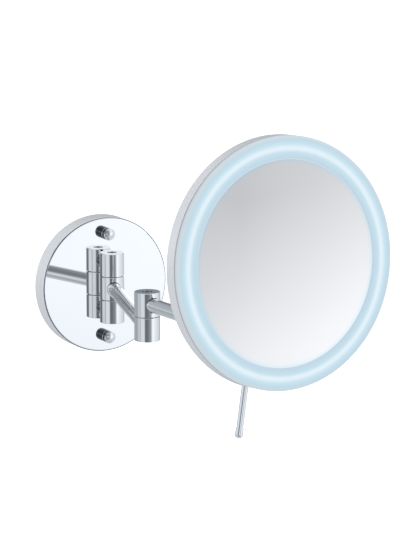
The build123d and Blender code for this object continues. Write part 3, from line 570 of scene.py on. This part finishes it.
def circuitWork(bench, place):
    plate = circuitBoard
    spot = headPlace(bench, place)
    sockets = {0: spot["across"], 1: spot["upward"], 2: spot["depth"]}
    local = bench.node("ShaderNodeCombineXYZ", {}, sockets)
    edges = bench.cells(local, plate["trackSize"], feature="DISTANCE_TO_EDGE")
    track = bench.step(edges, *plate["trackEdge"], 1.0, 0.0)
    pad = bench.step(bench.cells(local, plate["padSize"]), *plate["padEdge"], 1.0, 0.0)
    return {
        "Base Color": bench.mix(pad, bench.mix(track, plate["mask"], plate["track"]), plate["tin"]),
        "Metallic": pad,
        "Roughness": plate["rough"] + track * plate["trackRough"],
        "Normal": bench.bump(track + pad, plate["reliefDepth"], plate["reliefStrength"]),
    }


# the diodes: a yellow phosphor face in a white case
phosphorDiode = {
    "phosphor": (0.95, 0.80, 0.30),
    "case": (0.85, 0.84, 0.80),
    "light": (0.85, 0.95, 1.0),
    "strength": 2.0,
    "halfCase": 0.0015,
    "window": (0.000447, 0.000775),  # from the middle of the case, where the phosphor ends
    "front": (0.7, 0.8),
    "rough": 0.3,
    "grainRough": 0.2,
    "grainSize": 0.0004,
}


def diodeWork(bench, place):
    plate = phosphorDiode
    ringRadius = reach("diodes", faceRight)[1] - axisAcross - plate["halfCase"]
    offset = headPlace(bench, place)["radius"] - ringRadius
    inner, outer = plate["window"]
    window = bench.step(offset * offset, inner * inner, outer * outer, 1.0, 0.0)
    lit = bench.step(bench.facing(faceOut), *plate["front"]) * window
    grain = bench.noise(place, plate["grainSize"])
    return {
        "Base Color": bench.mix(lit, plate["case"], plate["phosphor"]),
        "Roughness": plate["rough"] + grain * plate["grainRough"],
        "Emission Color": bench.mix(lit, (0, 0, 0), plate["light"]),
        "Emission Strength": plate["strength"],
    }


# the cells: a plain slate wrap with a pale band and bare steel ends
dryCell = {
    "wrap": (0.045, 0.06, 0.085),
    "band": (0.55, 0.57, 0.60),
    "bandTurn": 126.0,  # the band is the crest of a wave across the cell
    "bandStart": 0.6,
    "bandEdge": (0.86, 0.9),
    "steel": (0.62, 0.63, 0.64),
    "steelEdge": (0.5, 0.6),
    "wrapMetal": 0.55,
    "rough": 0.25,
    "scuffSize": 0.002,
    "scuffRough": 0.15,
}


def cellWork(bench, place):
    plate = dryCell
    across = headPlace(bench, place)["across"]
    facing = bench.facing(faceRight)
    bare = bench.step(facing * facing, *plate["steelEdge"])
    wave = bench.sum("SINE", across * plate["bandTurn"] + plate["bandStart"])
    wrap = bench.mix(bench.step(wave, *plate["bandEdge"]), plate["wrap"], plate["band"])
    scuff = bench.noise(place, plate["scuffSize"], detail=4.0, rough=0.7)
    return {
        "Base Color": bench.mix(bare, wrap, plate["steel"]),
        "Metallic": plate["wrapMetal"] + bare * (1 - plate["wrapMetal"]),
        "Roughness": plate["rough"] + scuff * plate["scuffRough"],
    }


# nickelled brass: pale metal, warmer where the nickel is thin
nickelBrass = {
    "nickel": (0.72, 0.69, 0.62),
    "brass": (0.70, 0.53, 0.26),
    "wornSize": 0.004,
    "wornEdge": (0.45, 0.75),
    "rough": 0.2,
    "wornRough": 0.12,
}


def brassWork(bench, place):
    plate = nickelBrass
    patches = bench.noise(place, plate["wornSize"], detail=4.0, rough=0.65)
    worn = bench.step(patches, *plate["wornEdge"])
    return {
        "Base Color": bench.mix(worn, plate["nickel"], plate["brass"]),
        "Metallic": 1.0,
        "Roughness": plate["rough"] + worn * plate["wornRough"],
    }


# the finish of each material slot, and of the pieces that have one of their own
finishes = {name: makeFinish(name, plasticWork(plate)) for name, plate in plastics.items()}
finishes |= {
    "chrome": makeFinish("polished_chrome", chromeWork),
    "steel": makeFinish("brushed_steel", steelWork),
    "mirror": makeFinish("silvered_glass", mirrorWork),
    "opal": makeFinish("lit_opal", opalWork),
    "circuit": makeFinish("circuit_board", circuitWork),
    "diode": makeFinish("phosphor_diode", diodeWork),
    "cell": makeFinish("dry_cell", cellWork),
    "brass": makeFinish("nickelled_brass", brassWork),
}
zinc = makeFinish("zinc_sheet", zincWork)
ownFinish = {name: makeFinish(name, darkSidedWork(plate)) for name, plate in darkSided.items()}
ownFinish |= {
    "rosette": makeFinish("plate_chrome", rosetteWork),
    "rim_casing": makeFinish("rim_chrome", rimWork),
    "wall_bracket": zinc,
    "backing_plate": zinc,
}

for name, piece in nodes.items():
    for slot in piece.material_slots:
        slot.material = ownFinish.get(name) or finishes[slot.material.name.split(".")[0]]
print("finishes laid on:", len(bpy.data.materials))


# moulded detail on the back of the head, in metres
backDetail = {
    "doorThick": 0.002,
    "doorGap": 0.0002,  # between the door and the housing
    "doorTop": 0.005,  # from the top of the hinge barrel down to the door's edge
    "doorTab": 0.009,  # from the foot of the screw tab up to the door's edge
    "housingBead": {"inset": 0.005, "width": 0.0014, "height": 0.0006, "steps": 128},
    "doorFrame": {"inset": 0.003, "corner": 0.003, "width": 0.001, "height": 0.0004, "steps": 6},
    "doorRibs": {
        "count": 6, "pitch": 0.0019, "length": 0.022, "width": 0.0012, "height": 0.0007,
        "start": 0.0065,  # of the lowest rib above the door's edge
    },
    "ventRibs": {
        "count": 9, "pitch": 0.003, "length": 0.01, "width": 0.0013, "height": 0.0008,
        "across": -0.046,  # of the ribs from the head's axis
    },
    "switchCollar": {"radius": 0.0062, "width": 0.0018, "height": 0.0011, "steps": 48},
}
# the thin bead that seals the glass into the lit ring
glassSeal = {"outset": 0.0001, "width": 0.0013, "height": 0.0004, "steps": 160}
# half round, from one foot to the other: across in widths, and up in heights
beadSection = [
    (-0.5, -0.3), (-0.5, 0.0), (-0.42, 0.45), (-0.22, 0.85), (0.0, 1.0),
    (0.22, 0.85), (0.42, 0.45), (0.5, 0.0), (0.5, -0.3),
]
beadTaper = (0.4, 0.85, 1.0)  # size of the first sections of a bead that has ends
ribPlaces = (-0.5, -0.48, -0.45, 0.45, 0.48, 0.5)  # of a rib's sections, in lengths
creaseAngle = math.radians(50)  # edges that turn more than this stay sharp
doorFront = reach("battery_door", faceOut)[1]
housingBack = doorFront + backDetail["doorGap"]  # the beads, the ribs and the collar stand on it


# a place from how far it lies along each of the head's three directions
def onHead(across, upward, depth):
    return faceRight * across + faceUp * upward + faceOut * depth


def turns(count):
    return [2 * math.pi * k / count for k in range(count)]


# joins sections into a skin, with flat ends where it doesn't come round to its start
def addSkin(shape, rows, closed):
    for index in range(len(rows) if closed else len(rows) - 1):
        first, second = rows[index], rows[(index + 1) % len(rows)]
        for k, corner in enumerate(first):
            after = (k + 1) % len(first)
            shape.faces.new((corner, first[after], second[after], second[k]))
    if not closed:
        shape.faces.new(rows[0])
        shape.faces.new(rows[-1])


# a low arched bead along a path, its foot sunk a little into the face it stands on
def addBead(shape, path, plate, closed=True, side=-1):
    last = len(path) - 1
    rows = []
    for index, spot in enumerate(path):
        ahead = path[(index + 1) % len(path)] if closed else path[min(index + 1, last)]
        before = path[index - 1] if closed else path[max(index - 1, 0)]
        size = 1.0 if closed else beadTaper[min(index, last - index, len(beadTaper) - 1)]
        sideways = (ahead - before).normalized().cross(faceOut) * (plate["width"] * size)
        raised = faceOut * (side * plate["height"] * size)
        rows.append([shape.verts.new(spot + sideways * a + raised * h) for a, h in beadSection])
    addSkin(shape, rows, closed)


def roundPath(across, upward, radius, depth, count):
    return [
        onHead(across + radius * math.cos(t), upward + radius * math.sin(t), depth) for t in turns(count)
    ]


# a rectangle with round corners, each in so many steps
def framePath(low, high, corner, depth, steps):
    ends = [
        (high[0] - corner, high[1] - corner), (low[0] + corner, high[1] - corner),
        (low[0] + corner, low[1] + corner), (high[0] - corner, low[1] + corner),
    ]
    path = []
    for quarter, (across, upward) in enumerate(ends):
        for k in range(steps + 1):
            turn = math.pi / 2 * (quarter + k / steps)
            path.append(onHead(across + corner * math.cos(turn), upward + corner * math.sin(turn), depth))
    return path


def placePiece(name, body, finish, shape):
    bmesh.ops.recalc_face_normals(shape, faces=shape.faces[:])
    mesh = bpy.data.meshes.new(name)
    shape.to_mesh(mesh)
    shape.free()
    mesh.polygons.foreach_set("use_smooth", [True] * len(mesh.polygons))
    mesh.set_sharp_from_angle(angle=creaseAngle)
    mesh.materials.append(finishes[finish])
    piece = bpy.data.objects.new(name, mesh)
    bpy.context.scene.collection.objects.link(piece)
    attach(piece, body)
    return piece


def placeBead(name, body, finish, path, plate, side=-1):
    shape = bmesh.new()
    addBead(shape, path, plate, side=side)
    placePiece(name, body, finish, shape)


def placeRibs(name, body, finish, plate, across, lowest, depth):
    shape = bmesh.new()
    for k in range(plate["count"]):
        upward = lowest + k * plate["pitch"]
        path = [onHead(across + plate["length"] * share, upward, depth) for share in ribPlaces]
        addBead(shape, path, plate, closed=False)
    placePiece(name, body, finish, shape)


def buildBack():
    doorBack = doorFront - backDetail["doorThick"]
    left, right = reach("battery_door", faceRight)
    foot, top = reach("battery_door", faceUp)
    low = Vector((left, foot + backDetail["doorTab"]))
    high = Vector((right, top - backDetail["doorTop"]))

    plate = backDetail["housingBead"]
    radius = reach("rear_housing", faceRight)[1] - axisAcross - plate["inset"]
    path = roundPath(axisAcross, axisUp, radius, housingBack, plate["steps"])
    placeBead("housing_bead", "head", "grey_plastic", path, plate)

    plate = backDetail["ventRibs"]
    lowest = axisUp - plate["pitch"] * (plate["count"] - 1) / 2
    across = axisAcross + plate["across"]
    placeRibs("vent_ribs", "head", "grey_plastic", plate, across, lowest, housingBack)

    plate = backDetail["doorFrame"]
    inset = Vector((plate["inset"], plate["inset"]))
    path = framePath(low + inset, high - inset, plate["corner"], doorBack, plate["steps"])
    placeBead("door_frame", "door", "grey_plastic", path, plate)

    plate = backDetail["doorRibs"]
    lowest = low[1] + plate["start"]
    placeRibs("door_ribs", "door", "grey_plastic", plate, (left + right) / 2, lowest, doorBack)


def buildCollar():
    plate = backDetail["switchCollar"]
    button = middle("switch_button")
    place = button.dot(faceRight), button.dot(faceUp)
    path = roundPath(*place, plate["radius"], housingBack, plate["steps"])
    placeBead("switch_collar", "head", "black_plastic", path, plate)


def buildSeal():
    radius = reach("mirror_glass", faceRight)[1] - axisAcross + glassSeal["outset"]
    glassFront = reach("mirror_glass", faceOut)[1]
    path = roundPath(axisAcross, axisUp, radius, glassFront, glassSeal["steps"])
    placeBead("glass_seal", "head", "opal", path, glassSeal, side=1)


buildBack()
buildSeal()
buildCollar()
print("detail on the head built")


# the coil under the switch: its foot stays in the head
switchCoil = {"turns": 4, "steps": 28, "sides": 10, "wire": 0.0003}


def buildCoil():
    wire = switchCoil["wire"]
    left, right = reach("switch_spring", faceRight)
    low, high = reach("switch_spring", faceUp)
    back, front = reach("switch_spring", faceOut)
    across, upward = (left + right) / 2, (low + high) / 2
    radius = (right - left) / 2 - wire
    count = switchCoil["turns"] * switchCoil["steps"]
    shape = bmesh.new()
    rows = []
    for index in range(count + 1):
        turn = 2 * math.pi * index / switchCoil["steps"]
        outward = faceRight * math.cos(turn) + faceUp * math.sin(turn)
        depth = back + wire + (front - back - 2 * wire) * index / count
        spot = onHead(across, upward, depth) + outward * radius
        rows.append([
            shape.verts.new(spot + outward * (wire * math.cos(a)) + faceOut * (wire * math.sin(a)))
            for a in turns(switchCoil["sides"])
        ])
    addSkin(shape, rows, closed=False)
    coil = placePiece("switch_coil", "head", "steel", shape)
    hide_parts("switch_spring")
    length = front - back
    keep = 1 - max(joints["switch_press"]["range_m"]) / length
    onHead(across, upward, front)
    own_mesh(coil)


buildCoil()
print("switch coil built")


# the room that the chrome and the glass reflect: a ring of light at each height in degrees above
# eye level, as pairs of a heading and the light there, counted from straight in front of the wall
room = {
    "rings": [
        (-62, [(-180, 0.55), (180, 0.55)]),
        (-40, [
            (-180, 0.52), (-100, 0.46), (-60, 0.42), (-42, 0.39), (-33, 0.43), (-21, 0.49), (-9, 0.55),
            (3, 0.59), (15, 0.61), (60, 0.62), (100, 0.8), (140, 0.6), (180, 0.52),
        ]),
        (-24, [
            (-180, 0.46), (-150, 0.44), (-100, 0.55), (-60, 0.67), (-54, 0.60), (-48, 0.44), (-40, 0.3),
            (-10, 0.3), (3, 0.42), (9, 0.51), (15, 0.63), (21, 0.79), (32, 0.83), (37, 0.68),
            (48, 0.64), (64, 0.72), (100, 0.6), (130, 0.45), (180, 0.46),
        ]),
        (-11.3, [
            (-180, 0.36), (-158, 0.39), (-146, 0.40), (-135, 0.34), (-123, 0.42), (-111, 0.53),
            (-104, 0.62), (-97, 0.65), (-95, 0.38), (-90, 0.38), (-88, 0.66), (-69, 0.73), (-57, 0.70),
            (-50, 0.61), (-45, 0.17), (-33, 0.135), (-21, 0.17), (-9, 0.22), (3, 0.28), (9, 0.40),
            (13, 0.66), (17, 0.82), (22, 0.93), (28, 1.06), (33, 0.92), (48, 0.85), (58, 0.80),
            (69, 0.76), (85, 0.71), (94, 0.66), (107, 0.52), (180, 0.36),
        ]),
        (-8.2, [
            (-180, 0.36), (-146, 0.40), (-135, 0.36), (-111, 0.55), (-97, 0.65), (-95, 0.45),
            (-90, 0.45), (-88, 0.66), (-69, 0.72), (-57, 0.67), (-51, 0.54), (-45, 0.20), (-33, 0.23),
            (-21, 0.30), (-9, 0.36), (3, 0.30), (9, 0.40), (13, 0.61), (17, 0.74), (22, 0.86),
            (28, 1.02), (31, 1.12), (33, 1.07), (36, 1.0), (39, 0.94), (42.2, 0.845), (46, 0.86),
            (60, 0.81), (85, 0.73), (100, 0.61), (115, 0.48), (180, 0.36),
        ]),
        (3, [
            (-180, 0.38), (-145, 0.55), (-121, 0.86), (-100, 0.80), (-74, 0.72), (-62, 0.64),
            (-57, 0.57), (-52, 0.34), (-46, 0.30), (-30, 0.60), (-12, 1.0), (-4, 0.78), (2, 0.40),
            (14, 0.44), (21, 0.60), (25, 0.70), (28, 0.9), (31, 1.66), (32.5, 1.66), (34.5, 1.60),
            (38, 1.52), (42, 1.48), (44.5, 1.38), (48, 1.05), (52, 0.92), (70, 0.80), (100, 0.60),
            (125, 0.40), (150, 0.28), (180, 0.38),
        ]),
        (6, [
            (-180, 0.39), (-145, 0.58), (-121, 0.88), (-100, 0.78), (-81, 0.68), (-64, 0.58),
            (-56, 0.34), (-48, 0.16), (-38, 0.16), (-30, 0.46), (-20, 0.9), (-12, 1.06), (3, 0.96),
            (12, 0.6), (16, 0.46), (21, 0.60), (25, 0.75), (28, 0.93), (31, 1.49), (32.5, 1.49),
            (34.5, 1.41), (38, 1.32), (41.5, 1.23), (44, 1.14), (47, 1.0), (51, 0.91), (70, 0.79),
            (100, 0.60), (125, 0.39), (150, 0.27), (180, 0.39),
        ]),
        (13, [
            (-180, 0.40), (-147, 0.45), (-121, 0.48), (-100, 0.55), (-78, 0.54), (-68, 0.50),
            (-62, 0.40), (-56, 0.25), (-46, 0.22), (-12, 0.23), (0, 0.32), (9, 0.36), (15, 0.42),
            (18, 0.54), (22, 0.76), (27, 1.0), (32, 1.0), (60, 0.85), (80, 0.74), (100, 0.60),
            (125, 0.36), (140, 0.25), (153, 0.235), (166, 0.26), (180, 0.40),
        ]),
        (24, [
            (-180, 0.36), (-170, 0.41), (-147, 0.44), (-110, 0.52), (-80, 0.5), (-68, 0.36),
            (-60, 0.22), (-50, 0.20), (-12, 0.21), (0, 0.28), (12, 0.42), (18, 0.56), (24, 0.68),
            (32, 0.9), (60, 0.85), (100, 0.60), (125, 0.34), (153, 0.19), (165, 0.21), (171, 0.30),
            (180, 0.36),
        ]),
        (40, [
            (-180, 0.40), (-130, 0.44), (-100, 0.52), (-80, 0.46), (-60, 0.21), (-30, 0.20), (-9, 0.21),
            (-3, 0.26), (3, 0.29), (9, 0.34), (15, 0.43), (30, 0.85), (60, 0.9), (100, 0.72),
            (135, 0.45), (160, 0.33), (180, 0.40),
        ]),
        (64, [(-180, 0.72), (180, 0.72)]),
    ],
    "coolLight": (0.953, 1.0, 1.055),  # tint of full light
    "coolDark": (0.90, 1.0, 1.11),  # tint of the dark
}


def roomRing(bench, heading, levels):
    stops = []
    for angle, level in levels:
        share = min(level, 1.0)
        tint = [dark + (light - dark) * share for dark, light in zip(room["coolDark"], room["coolLight"])]
        stops.append((angle / 360 + 0.5, tuple(level * part for part in tint)))
    return bench.ramp(heading, stops)


def buildRoom():
    world = bpy.data.worlds.new("studio")
    bpy.context.scene.world = world
    world.use_nodes = True
    bench = Bench(world.node_tree)
    ray = bench.node("ShaderNodeTexCoord", out="Generated")
    east = bench.along(ray, (1, 0, 0))
    south = bench.along(ray, (0, -1, 0))
    rise = bench.sum("ARCSINE", bench.along(ray, (0, 0, 1))) * (180 / math.pi)
    heading = bench.sum("ARCTAN2", east, south) / (2 * math.pi) + 0.5
    below, lowest = room["rings"][0]
    around = roomRing(bench, heading, lowest)
    for height, levels in room["rings"][1:]:
        climb = bench.node("ShaderNodeMapRange", {}, {0: rise, 1: below, 2: height})
        around = bench.mix(climb, around, roomRing(bench, heading, levels))
        below = height
    seen = bench.node("ShaderNodeLightPath", out="Is Camera Ray")
    shown = bench.mix(seen, around, (1, 1, 1))
    glow = bench.node("ShaderNodeBackground", {}, {"Color": shown, "Strength": 1.0})
    bench.node("ShaderNodeOutputWorld", {}, {"Surface": glow})


buildRoom()

# a wide pale floor, well below the object
floor = {
    "drop": 0.24,
    "radius": 30.0,
    "sides": 96,
    "tone": (0.93, 0.93, 0.93),
    "speck": (0.95, 0.95, 0.95),
    "speckSize": 0.4,
    "glow": 0.75,
}


def floorWork(bench, place):
    return {
        "Base Color": bench.mix(bench.noise(place, floor["speckSize"]), floor["tone"], floor["speck"]),
        "Roughness": 0.9,
        "Emission Color": rgb((1, 1, 1)),
        "Emission Strength": floor["glow"],
        "Specular IOR Level": 0.1,
    }


def buildFloor():
    centre = Vector((0, 0, cadBox[0][2] - floor["drop"]))
    shape = bmesh.new()
    shape.faces.new([
        shape.verts.new(centre + Vector((math.cos(turn), math.sin(turn), 0)) * floor["radius"])
        for turn in turns(floor["sides"])
    ])
    mesh = bpy.data.meshes.new("studio_floor")
    shape.to_mesh(mesh)
    shape.free()
    mesh.materials.append(makeFinish("pale_floor", floorWork))
    ground = bpy.data.objects.new("studio_floor", mesh)
    bpy.context.scene.collection.objects.link(ground)
    ground.visible_glossy = False
    ground.visible_diffuse = False


buildFloor()

# wide soft lamps, for the pieces that aren't bright metal
lamps = {
    "lamp_top": {"place": (-1.0, -0.5, 2.9), "size": 1.6, "power": 5},
    "lamp_right": {"place": (1.6, -1.9, 1.7), "size": 1.6, "power": 14},
    "lamp_back": {"place": (-1.2, 1.6, 1.9), "size": 1.4, "power": 9},
    "lamp_left": {"place": (-3.0, -0.2, 0.2), "size": 2.0, "power": 43},
}


def buildLamps():
    target = middle("rear_housing")
    for name, lamp in lamps.items():
        data = bpy.data.lights.new(name, "AREA")
        data.shape = "DISK"
        data.size = lamp["size"]
        data.energy = lamp["power"]
        stand = bpy.data.objects.new(name, data)
        stand.location = lamp["place"]
        stand.rotation_euler = (target - stand.location).to_track_quat("-Z", "Y").to_euler()
        stand.visible_glossy = False
        bpy.context.scene.collection.objects.link(stand)


buildLamps()

# the camera stands left of the object and a little above it, with a long lens
eye = {
    "place": (-1.36308, -2.84227, 0.63289),
    "toward": (0.45176, 0.87019, -0.19668),
    "lens": 234.0,
    "sensor": 36.0,
    "reach": 100.0,
}


def buildCamera():
    data = bpy.data.cameras.new("camera")
    data.sensor_width = eye["sensor"]
    data.lens = eye["lens"]
    data.clip_end = eye["reach"]
    camera = bpy.data.objects.new("camera", data)
    camera.location = eye["place"]
    camera.rotation_euler = Vector(eye["toward"]).to_track_quat("-Z", "Y").to_euler()
    bpy.context.scene.collection.objects.link(camera)
    bpy.context.scene.camera = camera
    bpy.context.scene.view_settings.view_transform = "Standard"


buildCamera()
print("room, floor, lamps and camera set")
